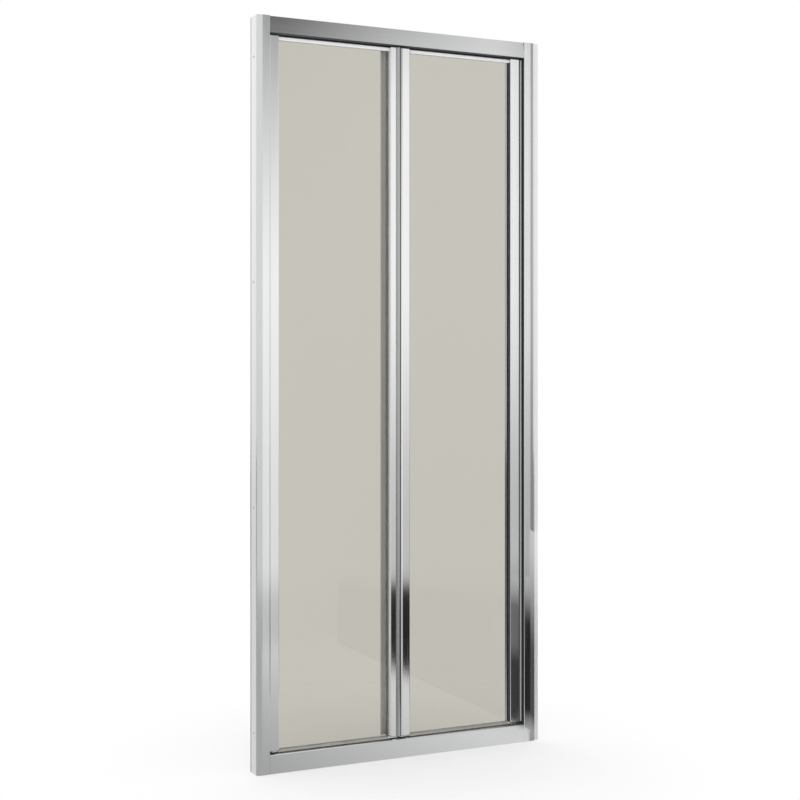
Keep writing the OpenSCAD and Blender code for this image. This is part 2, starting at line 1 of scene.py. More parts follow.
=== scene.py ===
# %% [markdown]
# # A bifold shower door in polished aluminium
# The door is two glass leaves that fold into the shower inside a metal frame. Its construction comes
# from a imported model, and this script dresses it with finishes, small moulded parts, a studio and a
# camera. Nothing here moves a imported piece: it either keeps its mesh and gets a finish, or it is hidden
# and a finer mesh stands in the same place. X runs along the doorway, Y towards the shower and Z up.
# Blender works in metres, while outlines and screws are given in millimetres, as on a drawing.

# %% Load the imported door
import math

import bmesh
import bpy
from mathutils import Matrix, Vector


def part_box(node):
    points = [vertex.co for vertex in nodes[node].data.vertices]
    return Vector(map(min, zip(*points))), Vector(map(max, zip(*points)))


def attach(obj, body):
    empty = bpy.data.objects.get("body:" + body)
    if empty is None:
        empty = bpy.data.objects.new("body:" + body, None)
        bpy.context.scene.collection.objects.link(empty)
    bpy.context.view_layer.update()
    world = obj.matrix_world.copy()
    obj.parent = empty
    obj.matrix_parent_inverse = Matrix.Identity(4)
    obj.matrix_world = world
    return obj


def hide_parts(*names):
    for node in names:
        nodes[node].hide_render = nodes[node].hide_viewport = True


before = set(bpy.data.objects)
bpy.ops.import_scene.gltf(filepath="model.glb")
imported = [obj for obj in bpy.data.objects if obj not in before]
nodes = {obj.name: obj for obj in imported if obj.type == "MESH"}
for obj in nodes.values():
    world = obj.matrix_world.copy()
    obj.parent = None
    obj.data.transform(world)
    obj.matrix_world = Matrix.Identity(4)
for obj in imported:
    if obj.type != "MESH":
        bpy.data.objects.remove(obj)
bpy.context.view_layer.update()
scene = bpy.context.scene
scene.view_settings.view_transform = "Standard"

# %% [markdown]
# ## The camera
# The photograph was taken from the left at about mid height, with a long lens, and it was cropped so
# that the horizon lies a little above the middle. A level camera keeps the uprights parallel, as they
# are in the photograph, and a small shift puts the horizon back where it was.

# %% Place the camera
CAMERA_PLACE = (-1.745, -3.509, 1.011)
CAMERA_TURN = math.radians(26.42)
LENS_MM = 69.0
SENSOR_MM = 36.0
HORIZON_SHIFT = -0.0506

camera = bpy.data.objects.new("camera", bpy.data.cameras.new("camera"))
scene.collection.objects.link(camera)
camera.location = CAMERA_PLACE
camera.rotation_euler = (math.pi / 2, 0, -CAMERA_TURN)
camera.data.lens = LENS_MM
camera.data.sensor_width = SENSOR_MM
camera.data.shift_y = HORIZON_SHIFT
scene.camera = camera
print(f"camera {Vector(CAMERA_PLACE).length:.2f} m from the sill's middle")

# %% [markdown]
# ## Helpers for node trees
# A finish is a small network of nodes. Made one by one, each node takes several lines, so helpers do it
# here: one makes a node and fills in its sockets, one starts a material with a Principled shader, and the
# rest name the sums that return often. Each finish below then reads as a short recipe.

# %% Node helpers
def add_node(tree, kind, **values):
    """A new node. Names of its sockets set values or make links, other names set its properties."""
    node = tree.nodes.new(kind)
    for name, value in values.items():
        socket = node.inputs.get(name.replace("_", " "))
        if socket is None:
            setattr(node, name, value)
        elif isinstance(value, bpy.types.NodeSocket):
            tree.links.new(value, socket)
        else:
            socket.default_value = value
    return node


def start_finish(name, **values):
    """A material with one Principled shader, whose plain values are set on its own sockets."""
    material = bpy.data.materials.new(name)
    material.use_nodes = True
    tree = material.node_tree
    shader = tree.nodes["Principled BSDF"]
    for socket, value in values.items():
        shader.inputs[socket.replace("_", " ")].default_value = value
    return material, tree, shader


def start_group(name, inputs, output):
    """A shader node group with inputs, given as {name: default}, and one number as its output."""
    group = bpy.data.node_groups.new(name, "ShaderNodeTree")
    for label, default in inputs.items():
        kind = "NodeSocketVector" if isinstance(default, tuple) else "NodeSocketFloat"
        socket = group.interface.new_socket(label, in_out="INPUT", socket_type=kind)
        socket.default_value = default
    group.interface.new_socket(output, in_out="OUTPUT", socket_type="NodeSocketFloat")
    return group, group.nodes.new("NodeGroupInput"), group.nodes.new("NodeGroupOutput")


def use_group(tree, group, **values):
    """Places a node group in a material, fills in its inputs and gives its one output."""
    node = tree.nodes.new("ShaderNodeGroup")
    node.node_tree = group
    for name, value in values.items():
        node.inputs[name.replace("_", " ")].default_value = value
    return node.outputs[0]


def math_node(tree, operation, *terms):
    """A Math node on sockets or numbers, and its result."""
    node = add_node(tree, "ShaderNodeMath", operation=operation)
    for i, term in enumerate(terms):
        if isinstance(term, bpy.types.NodeSocket):
            tree.links.new(term, node.inputs[i])
        else:
            node.inputs[i].default_value = term
    return node.outputs[0]


def product(tree, first, *others):
    """Sockets and numbers multiplied with each other."""
    for other in others:
        first = math_node(tree, "MULTIPLY", first, other)
    return first


def distance(tree, a, b):
    """How far a place lies from the line where both of its coordinates a and b are 0."""
    return math_node(tree, "SQRT", math_node(tree, "ADD", product(tree, a, a), product(tree, b, b)))


def ramp(tree, value, start, end, low, high, shape="LINEAR"):
    """A value that goes from low to high while the input goes from start to end."""
    node = add_node(tree, "ShaderNodeMapRange", From_Min=start, From_Max=end, To_Min=low, To_Max=high,
                    Value=value, interpolation_type=shape)
    return node.outputs["Result"]


def inside(tree, value, low, high):
    """1 where a value lies between two numbers, and 0 elsewhere."""
    return product(tree, math_node(tree, "GREATER_THAN", value, low),
                   math_node(tree, "LESS_THAN", value, high))


def object_axes(tree):
    """The X, Y and Z of a place on the object, as three sockets."""
    place = add_node(tree, "ShaderNodeTexCoord")
    axes = add_node(tree, "ShaderNodeSeparateXYZ", Vector=place.outputs["Object"])
    return axes.outputs["X"], axes.outputs["Y"], axes.outputs["Z"]


def noise(tree, scale, detail):
    """A noise from 0 to 1 that sits on the object itself."""
    place = add_node(tree, "ShaderNodeTexCoord").outputs["Object"]
    cloud = add_node(tree, "ShaderNodeTexNoise", Scale=scale, Detail=detail, Vector=place)
    return cloud.outputs["Fac"]


def mixed(tree, share, first, second):
    """A colour that goes from the first to the second while the share goes from 0 to 1."""
    node = add_node(tree, "ShaderNodeMixRGB", Color1=(*first, 1.0), Color2=(*second, 1.0), Fac=share)
    return node.outputs["Color"]


def feed(node, **sockets):
    """Links sockets to the inputs of a node, by name."""
    for name, socket in sockets.items():
        node.id_data.links.new(socket, node.inputs[name.replace("_", " ")])


def bump(tree, shader, height, strength, relief):
    """Relief from a height, on a shader."""
    node = add_node(tree, "ShaderNodeBump", Strength=strength, Distance=relief, Height=height)
    feed(shader, Normal=node.outputs["Normal"])


print("node helpers ready")

# %% [markdown]
# ## Effects that several finishes share
# An extrusion keeps faint lines from the die that it was pushed through, all along its length. A noise
# stretched hard along one axis gives such lines. Handling leaves soft, wide patches that are a little
# less shiny. Both are node groups, so that each finish places them with its own scale and strength.

# %% Shared effects
die_lines, group_in, group_out = start_group(
    "die_lines", {"Scale": (1.0, 1.0, 1.0), "Depth": 1.0}, "Height")
place = add_node(die_lines, "ShaderNodeTexCoord")
stretch = add_node(die_lines, "ShaderNodeVectorMath", operation="MULTIPLY")
die_lines.links.new(place.outputs["Object"], stretch.inputs[0])
die_lines.links.new(group_in.outputs["Scale"], stretch.inputs[1])
grain = add_node(die_lines, "ShaderNodeTexNoise", Scale=1.0, Detail=3.0, Roughness=0.6,
                 Vector=stretch.outputs[0])
feed(group_out, Height=product(die_lines, grain.outputs["Fac"], group_in.outputs["Depth"]))

soft_patches, group_in, group_out = start_group(
    "soft_patches", {"Size": 5.0, "Low": 0.1, "High": 0.2}, "Value")
place = add_node(soft_patches, "ShaderNodeTexCoord")
cloud = add_node(soft_patches, "ShaderNodeTexNoise", Detail=4.0, Roughness=0.55,
                 Vector=place.outputs["Object"], Scale=group_in.outputs["Size"])
low, high = group_in.outputs["Low"], group_in.outputs["High"]
feed(group_out, Value=ramp(soft_patches, cloud.outputs["Fac"], 0.35, 0.65, low, high))
print("shared effects:", die_lines.name, soft_patches.name)

# %% [markdown]
# ## Polished aluminium
# The frame and the uprights are bright, nearly mirror-like extrusions. Their colour is almost all
# reflection, so the recipe is a metallic shader with a low roughness, die lines along the length and
# soft patches in the roughness. Shade is painted where it falls: inside a groove, deep in a joint and
# in narrow gaps. A mask says where, and mixes in a dark second colour with more roughness. Even dark
# metal mirrors brightly at a glancing angle, so where the painted shade is full the surface stops being
# metal. The wall channels are plain satin stock, paler and far rougher.

# %% Plain metal finishes
UPRIGHT_LINES = (1400.0, 1400.0, 1.2)  # die lines a metre along X, Y and Z
RAIL_LINES = (1.2, 1400.0, 1400.0)
LINE_STRENGTH = 0.25
LINE_RELIEF = 0.0002  # metres
POLISHED = (0.90, 0.905, 0.91)
# The dark colour of painted shade, laid where shade falls in grooves, joints and gaps.
PAINTED_SHADE = (0.06, 0.06, 0.062)
CHANNEL_PALE = (0.97, 0.97, 0.97)
UPRIGHT_GLOSS = (0.07, 0.12)  # lowest and highest roughness
RAIL_GLOSS = (0.09, 0.15)
CHANNEL_GLOSS = (0.38, 0.46)
# Where the mask paints shade, the metal also gets more roughness, and where that painted shade is full it
# stops being metal.
SATIN = 0.3  # roughness added where the metal is dull or satin
SHADE_FROM = 0.8  # a mask above this starts to take the metal away
DULL_SPECULAR = 0.15  # what little a dull place mirrors once it is no longer metal


def aluminium(name, lines, gloss, shaded_places=None, darkened=PAINTED_SHADE, colour=POLISHED,
              line_strength=LINE_STRENGTH, metallic=1.0):
    """An extruded aluminium finish with die lines along its length, and painted shade where the mask
    says.
    """
    material, tree, shader = start_finish(name, Metallic=metallic, Base_Color=(*colour, 1.0),
                                          Specular_IOR_Level=DULL_SPECULAR)
    roughness = use_group(tree, soft_patches, Size=3.0, Low=gloss[0], High=gloss[1])
    # The mask paints shade: it mixes in the dark colour, adds roughness and takes the metal away where it
    # is full.
    if shaded_places:
        mask = shaded_places(tree, *object_axes(tree))
        feed(shader, Base_Color=mixed(tree, mask, colour, darkened),
             Metallic=ramp(tree, mask, SHADE_FROM, 1.0, metallic, 0.0))
        roughness = math_node(tree, "ADD", roughness, product(tree, mask, SATIN))
    feed(shader, Roughness=roughness)
    bump(tree, shader, use_group(tree, die_lines, Scale=lines, Depth=1.0), line_strength, LINE_RELIEF)
    return material


upright_metal = aluminium("upright_metal", UPRIGHT_LINES, UPRIGHT_GLOSS)
channel_metal = aluminium("channel_metal", UPRIGHT_LINES, CHANNEL_GLOSS, colour=CHANNEL_PALE,
                          line_strength=0.35, metallic=0.55)
print("plain metals:", upright_metal.name, channel_metal.name)

# %% [markdown]
# ## Rails
# The head and the sill are polished like the jambs, but the leaves shade the faces that they run
# against, and the guide grooves lie in shade, which is painted on. The masks follow the imported rails:
# a band as deep as the leaves on the sill, a little lighter, and the underside, the rounded lower edge
# and the groove of the head. On that edge the painted shade replaces the bright line it would mirror.

# %% Rail finishes, with painted shade inside their grooves
LEAF_HALF = 0.0165  # half the depth that a leaf covers
SILL_SHADE = (0.10, 0.10, 0.102)
SILL_FOOT = 0.004  # the sill's underside lies below this
FACE = 0.001  # a step past the sill's top, so that the mask takes it in
GROOVE_HALF = 0.0085  # just past the sides of the head's groove
GROOVE_TOP = 0.03  # above the end of that groove, measured from the rail's foot
HEAD_EDGE = 0.0014  # rounded lower edge of the head rail
sill_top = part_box("sill_rail")[1][2]
head_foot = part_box("head_rail")[0][2]


def under_leaf(tree, x, y, z):
    """The top of the sill below the leaves, and its groove, where shade is painted."""
    return product(tree, inside(tree, y, -LEAF_HALF, LEAF_HALF),
                   inside(tree, z, SILL_FOOT, sill_top + FACE))


def over_leaf(tree, x, y, z):
    """The underside of the head rail, its rounded lower edge and its groove, where shade is painted."""
    groove = product(tree, inside(tree, y, -GROOVE_HALF, GROOVE_HALF),
                     math_node(tree, "LESS_THAN", z, head_foot + GROOVE_TOP))
    return math_node(tree, "MAXIMUM", groove, math_node(tree, "LESS_THAN", z, head_foot + HEAD_EDGE))


sill_metal = aluminium("sill_metal", RAIL_LINES, RAIL_GLOSS, under_leaf, darkened=SILL_SHADE)
head_metal = aluminium("head_metal", RAIL_LINES, RAIL_GLOSS, over_leaf)
print(f"rails dull up to z = {sill_top:.4f} m and below {head_foot + HEAD_EDGE:.4f} m")

# %% [markdown]
# ## The right jamb
# Its front and its bowed edge are bright. The inner side faces the pivot seal across a narrow gap, and
# in the photograph that gap is black. So shade is painted on this one side, behind the rounded front
# edge.

# %% Finish of the right jamb
ON_FACE = 0.0002  # how near a flat side a place must lie to count as on it
JAMB_EDGE_Y = -0.0219  # where the rounded front edge ends
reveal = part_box("right_jamb")[0][0]


def in_reveal(tree, x, y, z):
    """The jamb's inner side, which faces the pivot seal and gets painted shade."""
    return product(tree, inside(tree, x, reveal - ON_FACE, reveal + ON_FACE),
                   math_node(tree, "GREATER_THAN", y, JAMB_EDGE_Y))


jamb_metal = aluminium("jamb_metal", UPRIGHT_LINES, UPRIGHT_GLOSS, in_reveal)
print(f"right jamb dull at x = {reveal:.4f} m")

# %% [markdown]
# ## The handle upright
# The finger lip behind the glass is one extrusion with the bright upright. It is satin, because fingers
# would mark a polish, and the side between the pane and the lip gets painted shade at about half
# strength.
# Both are seen through the glass, where a plain mirror would show only the dark inside of the corner.

# %% Finish of the handle upright
HANDLE_W = 0.016  # front width of the handle upright
LIP_SIDE = (0.002, 0.0155)  # y from behind the pane to the lip
# Share of the painted shade on the side beside the lip.
HALF_SHADE = 0.6
LIP_METALLIC = 0.15
glass_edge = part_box("handle_stile")[1][0] - HANDLE_W


def beside_lip(tree, x, y, z):
    """The upright's side behind the glass, between the pane and the finger lip, where shade is painted.
    """
    side = inside(tree, x, glass_edge - ON_FACE, glass_edge + ON_FACE)
    return product(tree, side, inside(tree, y, *LIP_SIDE), HALF_SHADE)


handle_metal = aluminium("handle_metal", UPRIGHT_LINES, UPRIGHT_GLOSS, beside_lip)
# The satin of the lip comes on top of what the recipe has linked.
tree = handle_metal.node_tree
shader = tree.nodes["Principled BSDF"]
lip = math_node(tree, "LESS_THAN", object_axes(tree)[0], glass_edge - ON_FACE)
polish = shader.inputs["Roughness"].links[0].from_socket
feed(shader, Roughness=math_node(tree, "ADD", polish, product(tree, lip, SATIN)),
     Metallic=ramp(tree, lip, 0.0, 1.0, 1.0, LIP_METALLIC))
print(f"finger lip satin left of x = {glass_edge:.4f} m")

# %% [markdown]
# ## The hinge upright
# The round barrel is rougher than the flat face beside it and painted part way dark, and a shadow line is
# painted into the groove where they meet. The barrel is found by its distance from the hinge's axis, so
# the same finish also suits the knuckles.

# %% Finish of the hinge upright
HINGE = (-0.014, -0.016)  # x and y of the hinge's axis
BARREL_R = 0.0058
BARREL_SKIN = 0.0001  # takes the surface of the barrel in
BARREL_DULL = 0.42
BESIDE_BARREL = (-0.0114, -0.0059)  # from the barrel's flank to the start of the slope
GROOVE_FLOOR_Y = -0.013


def barrel_and_groove(tree, x, y, z):
    """0 on the polished face, about a half on the barrel and 1 in the groove beside it, where a shadow
    line is painted.
    """
    reach = distance(tree, math_node(tree, "SUBTRACT", x, HINGE[0]),
                     math_node(tree, "SUBTRACT", y, HINGE[1]))
    barrel = product(tree, math_node(tree, "LESS_THAN", reach, BARREL_R + BARREL_SKIN), BARREL_DULL)
    groove = product(tree, inside(tree, x, *BESIDE_BARREL),
                     math_node(tree, "LESS_THAN", y, GROOVE_FLOOR_Y))
    return math_node(tree, "MAXIMUM", barrel, groove)


hinge_metal = aluminium("hinge_metal", UPRIGHT_LINES, UPRIGHT_GLOSS, barrel_and_groove)
print(f"barrel {2000 * BARREL_R:.1f} mm across at x = {HINGE[0]:.3f} m")

# %% [markdown]
# ## Steel of the screws and pins
# Stainless steel is greyer and warmer than aluminium. The screws are pressed and tumbled, which leaves
# a fine grain in their tone and relief and patches in their gloss.

# %% Steel finish
PALE_STEEL, DARK_STEEL = (0.67, 0.66, 0.64), (0.56, 0.55, 0.53)
GRAIN_RELIEF = 0.0001  # metres, also for what comes from a mould
steel, tree, shader = start_finish("stainless_steel", Metallic=1.0)
tumbled = noise(tree, 350.0, 3.0)
feed(shader, Base_Color=mixed(tree, tumbled, PALE_STEEL, DARK_STEEL),
     Roughness=use_group(tree, soft_patches, Size=60.0, Low=0.2, High=0.34))
bump(tree, shader, tumbled, 0.15, GRAIN_RELIEF)
print("steel finish:", steel.name)

# %% [markdown]
# ## Toughened glass
# The panes are flat safety glass that reads as a warm grey against a pale background. The heating and
# cooling that toughen it leave a very slight waviness, which shows only in reflections. The grey is what
# the camera meets. Light that has bounced off a piece behind the pane passes nearly clear, so that the
# metal behind the glass isn't dimmed twice, and Light Path tells the two apart.

# %% Glass finish
GLASS_GREY = (0.548, 0.528, 0.476)
NEARLY_CLEAR = (0.95, 0.95, 0.94)
WAVE_SCALE, WAVE_STRENGTH, WAVE_RELIEF = 9.0, 0.1, 0.0005
glass, tree, shader = start_finish("toughened_glass", Base_Color=(*GLASS_GREY, 1.0),
                                   Transmission_Weight=1.0, IOR=1.5)
ray = add_node(tree, "ShaderNodeLightPath")
bounced = math_node(tree, "ADD", ray.outputs["Diffuse Depth"], ray.outputs["Glossy Depth"])
bounced = math_node(tree, "MINIMUM", bounced, 1.0)
feed(shader, Base_Color=mixed(tree, bounced, GLASS_GREY, NEARLY_CLEAR),
     Roughness=use_group(tree, soft_patches, Size=6.0, Low=0.0, High=0.03))
bump(tree, shader, noise(tree, WAVE_SCALE, 1.0), WAVE_STRENGTH, WAVE_RELIEF)
print(f"{glass.name} tinted {GLASS_GREY}")

# %% [markdown]
# ## Rubber, vinyl and plastic
# Soft parts differ from metal in that their colour is their own. One recipe serves them all: a colour
# that wanders a little, uneven gloss and a fine pebble from the mould. The clear vinyl of the wipers
# lets light through as well. Rubber is the darkest and roughest, and the caps match the satin metal.

# %% Rubber, vinyl and plastic finishes
PALER = 1.12  # how far a colour wanders


def moulded(name, colour, gloss, pebble, pebble_strength, **values):
    """A moulded or extruded plastic or rubber with a fine surface and uneven gloss."""
    material, tree, shader = start_finish(name, **values)
    paler = [min(1.0, c * PALER + 0.004) for c in colour]
    feed(shader, Base_Color=mixed(tree, noise(tree, 25.0, 3.0), colour, paler),
         Roughness=use_group(tree, soft_patches, Size=30.0, Low=gloss[0], High=gloss[1]))
    bump(tree, shader, noise(tree, pebble, 2.0), pebble_strength, GRAIN_RELIEF)
    return material


clear_vinyl = moulded("clear_vinyl", (0.60, 0.59, 0.56), (0.10, 0.18), 700.0, 0.1, IOR=1.45,
                      Transmission_Weight=0.9)
pale_trim = moulded("pale_trim", (0.86, 0.865, 0.87), (0.25, 0.34), 900.0, 0.1)
seal_grey = moulded("seal_grey", (0.40, 0.40, 0.41), (0.3, 0.42), 900.0, 0.15)
rubber = moulded("glazing_rubber", (0.035, 0.036, 0.038), (0.5, 0.65), 1500.0, 0.4)
vinyl = moulded("seal_vinyl", (0.78, 0.79, 0.80), (0.3, 0.42), 900.0, 0.15)
dark_plastic = moulded("dark_plastic", (0.055, 0.057, 0.06), (0.35, 0.5), 1800.0, 0.35)
nylon = moulded("white_nylon", (0.84, 0.83, 0.79), (0.3, 0.42), 1200.0, 0.2)
cap_plastic = moulded("cap_plastic", (0.60, 0.61, 0.62), (0.22, 0.3), 1200.0, 0.15)
soft = (clear_vinyl, pale_trim, seal_grey, rubber, vinyl, dark_plastic, nylon, cap_plastic)
print("soft finishes:", [finish.name for finish in soft])

# %% [markdown]
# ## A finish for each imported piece
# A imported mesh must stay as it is, but its material slot may change. The list goes from finish to
# pieces, because one kind of stock makes many parts. The small parts that are replaced further down get
# a finish as well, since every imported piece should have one.

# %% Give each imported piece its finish
FINISH_OF = [
    (upright_metal, ["left_jamb", "pivot_stile", "lead_stile"]),
    (handle_metal, ["handle_stile"]),
    (jamb_metal, ["right_jamb"]),
    (hinge_metal, ["barrel_stile", "hinge_knuckles"]),
    (head_metal, ["head_rail"]),
    (sill_metal, ["sill_rail"]),
    (channel_metal, ["left_wall_channel", "right_wall_channel"]),
    (pale_trim, ["left_top_trim", "right_top_trim"]),
    (glass, ["left_glass", "right_glass"]),
    (rubber, ["right_gaskets"]),
    (clear_vinyl, ["left_wiper", "right_wiper"]),
    (vinyl, ["left_gaskets", "jamb_magnet", "lead_magnet", "pivot_seal"]),
    (dark_plastic, ["top_pivot_block", "bottom_pivot_block", "jamb_top_plugs", "pivot_stile_plugs",
                    "barrel_stile_plugs", "lead_stile_plugs", "handle_stile_plugs"]),
    (steel, ["corner_screws", "jamb_screws", "pivot_block_screws", "pivot_pins", "hinge_pins",
             "knuckle_screws", "guide_pins"]),
    (nylon, ["thrust_washer", "top_guide_wheel", "bottom_guide_wheel"]),
    (cap_plastic, ["screw_caps"]),
]
dressed = 0
for finish, names in FINISH_OF:
    for name in names:
        mesh = nodes[name].data
        mesh.materials.clear()
        mesh.materials.append(finish)
        dressed += 1
print(f"{dressed} of {len(nodes)} packed pieces have a finish")

# %% [markdown]
# ## Strips of one section
# Seals, wipers and glazing beads are all extruded: one small outline, the same along the whole length.
# So each is an outline in millimetres that is pulled straight along Z or X, closed at both ends, with
# smooth shading across its shallow corners and crisp edges elsewhere.

# %% Strip helpers
MM = 0.001


def shaded(mesh, angle=40):
    """Smooth shading that stays crisp at edges sharper than the angle, in degrees."""
    mesh.shade_smooth()
    mesh.set_sharp_from_angle(angle=math.radians(angle))


def piece_from(bm, name, finish):
    """Makes a closed bmesh an object of the scene, with its normals outwards and its finish."""
    bmesh.ops.recalc_face_normals(bm, faces=bm.faces[:])
    mesh = bpy.data.meshes.new(name)
    bm.to_mesh(mesh)
    bm.free()
    mesh.materials.append(finish)
    shaded(mesh)
    obj = bpy.data.objects.new(name, mesh)
    scene.collection.objects.link(obj)
    return obj


def strip(name, outlines, start, end, along, finish):
    """Closed strips of the given outlines, pulled along an axis from start to end, in millimetres."""
    bm = bmesh.new()
    for outline in outlines:
        rings = []
        for level in (start, end):
            places = [(a, b, level) if along == "Z" else (level, a, b) for a, b in outline]
            rings.append([bm.verts.new(Vector(p) * MM) for p in places])
        count = len(outline)
        for i in range(count):
            j = (i + 1) % count
            bm.faces.new((rings[0][i], rings[0][j], rings[1][j], rings[1][i]))
        bm.faces.new(rings[0])
        bm.faces.new(rings[1])
    return piece_from(bm, name, finish)


def box_mm(node):
    """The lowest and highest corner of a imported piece, in millimetres."""
    low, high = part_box(node)
    return [v / MM for v in low], [v / MM for v in high]


print("strip helpers ready")

# %% [markdown]
# ## Glazing wedge of the right pane
# The right pane is held by a black rubber wedge pressed in beside the glass. Its front lip stands almost
# flush with the upright, which is why a thin black line borders the pane, and a softer lip bears on the
# back. The section is a U round the edge of the glass, once for each upright.

# %% Black glazing wedge
BITE = 6.0  # how far the wedge reaches into the upright
GLASS_CLEAR = 0.03  # so that rubber and glass never share a face
GLASS_END = -5.02  # just past the edge of the glass
low, high = box_mm("right_gaskets")
glass_front = box_mm("right_glass")[0][1] - GLASS_CLEAR
glass_back = box_mm("right_glass")[1][1] + GLASS_CLEAR
# Each point is how far it lies out of the upright, and its y.
wedge = [(-BITE, -7.5), (0, -7.5), (0.1, -13.9), (0.3, -14.4), (0.7, -14.4), (0.9, -13.9), (1.1, -7.6),
         (1.3, glass_front), (GLASS_END, glass_front), (GLASS_END, glass_back), (2.4, glass_back),
         (1.9, 1.2), (0.9, 2.8), (0.15, 3.0), (0, 0.5), (-BITE, 0.5)]
hinge_side = [(low[0] + BITE + u, y) for u, y in wedge]
pivot_side = [(high[0] - BITE - u, y) for u, y in wedge]
glazing = strip("right_glazing_wedge", [hinge_side, pivot_side], low[2], high[2], "Z", rubber)
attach(glazing, "pivot_leaf")
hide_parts("right_gaskets")
print(f"glazing wedge {high[2] - low[2]:.0f} mm long on both edges of the right pane")

# %% [markdown]
# ## Seal beside the pivot upright
# The gap between the pivot upright and the jamb is closed by a strip with a black rubber body and a grey
# vinyl fin in front of it. They are two pieces, because they are two materials on the real strip too.

# %% Pivot seal
SEAL_REACH = 11.1
low, high = box_mm("pivot_seal")
# Each point is how far it lies from the upright, and its y.
body_outline = [(0.05, -14.2), (3.6, -14.2), (3.6, -13.4), (8.7, -13.4), (10.3, -13.1), (11.0, -12.3),
                (SEAL_REACH, -10.6), (10.4, -9.6), (9.0, -9.0), (5.7, -8.6), (0.05, -8.6)]
fin_outline = [(3.5, -15.0), (7.3, -15.0), (7.8, -14.8), (7.95, -14.45), (7.8, -14.1), (7.3, -13.95),
               (3.5, -13.95)]
for name, outline, finish, slot in (
        ("pivot_seal_body", body_outline, rubber, "grey_rubber"),
        ("pivot_seal_fin", fin_outline, seal_grey, "seal_vinyl")):
    placed = [(low[0] + u, y) for u, y in outline]
    piece = strip(name, [placed], low[2], high[2], "Z", finish)
    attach(piece, "pivot_leaf")
    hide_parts("pivot_seal")
print(f"pivot seal reaches x = {low[0] + SEAL_REACH:.1f} mm, reveal at {reveal / MM:.1f} mm")

# %% [markdown]
# ## Wipers under the panes
# A clear vinyl clip grips the lower edge of each pane. Two thin fins spread below it and almost touch the
# sill, so that water on the glass drips inside.

# %% Wipers
# Each point of the clip is its y and its z.
clip = [(-7.3, 56.1), (-6.1, 56.1), (-6.1, 54.15), (-0.9, 54.15), (-0.9, 56.1), (0.3, 56.1), (0.3, 52.9),
        (-0.6, 52.6), (1.4, 47.3), (0.7, 47.1), (-1.8, 52.3), (-3.2, 52.4), (-5.2, 52.3), (-7.8, 47.1),
        (-8.5, 47.3), (-6.4, 52.6), (-7.3, 52.9)]
for side, body in (("left", "sliding_leaf"), ("right", "pivot_leaf")):
    low, high = box_mm(f"{side}_wiper")
    wiper = strip(f"{side}_wiper_clip", [clip], low[0], high[0], "X", clear_vinyl)
    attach(wiper, body)
    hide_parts(f"{side}_wiper")
    print(f"{side} wiper {high[0] - low[0]:.1f} mm long")

# %% [markdown]
# ## Screws, grown on points
# The door has twenty-four screws in four sizes. They could be modelled once and copied by hand, but a
# Geometry Nodes tree does it better: it builds one screw from named sizes and sets a copy on each point
# of a small mesh, turned along the direction stored there. Nothing in it is random. It ends by making
# the copies real, so that what comes out is a plain mesh.

# %% Growing helpers
def start_growth(name, sizes):
    """A geometry tree with named sizes, its Group Input and its Group Output."""
    tree = bpy.data.node_groups.new(name, "GeometryNodeTree")
    tree.interface.new_socket("Geometry", in_out="INPUT", socket_type="NodeSocketGeometry")
    for label, size in sizes.items():
        socket = tree.interface.new_socket(label, in_out="INPUT", socket_type="NodeSocketFloat")
        socket.default_value = size
    tree.interface.new_socket("Geometry", in_out="OUTPUT", socket_type="NodeSocketGeometry")
    return tree, tree.nodes.new("NodeGroupInput"), tree.nodes.new("NodeGroupOutput")


def point_axes(tree):
    """The X, Y and Z of each point of a growing mesh, and how far it lies from the Z axis."""
    place = add_node(tree, "GeometryNodeInputPosition")
    axes = add_node(tree, "ShaderNodeSeparateXYZ", Vector=place.outputs["Position"])
    x, y, z = axes.outputs["X"], axes.outputs["Y"], axes.outputs["Z"]
    return x, y, z, distance(tree, x, y)


def vector(tree, x=0.0, y=0.0, z=0.0):
    """A vector from sockets or numbers."""
    return add_node(tree, "ShaderNodeCombineXYZ", X=x, Y=y, Z=z).outputs["Vector"]


def raised(tree, mesh, height):
    """A mesh moved along Z."""
    node = add_node(tree, "GeometryNodeTransform", Geometry=mesh, Translation=vector(tree, z=height))
    return node.outputs["Geometry"]


def set_on_points(tree, group_in, group_out, one, finish):
    """Sets one form on each point, faces it the stored way, makes the copies real and paints them."""
    facing = add_node(tree, "GeometryNodeInputNamedAttribute", data_type="FLOAT_VECTOR", Name="facing")
    turn = add_node(tree, "FunctionNodeAlignRotationToVector", axis="Z",
                    Vector=facing.outputs["Attribute"])
    copies = add_node(tree, "GeometryNodeInstanceOnPoints", Points=group_in.outputs["Geometry"],
                      Instance=one, Rotation=turn.outputs["Rotation"])
    real = add_node(tree, "GeometryNodeRealizeInstances", Geometry=copies.outputs["Instances"])
    paint = add_node(tree, "GeometryNodeSetMaterial", Geometry=real.outputs["Geometry"], Material=finish)
    feed(group_out, Geometry=paint.outputs["Geometry"])


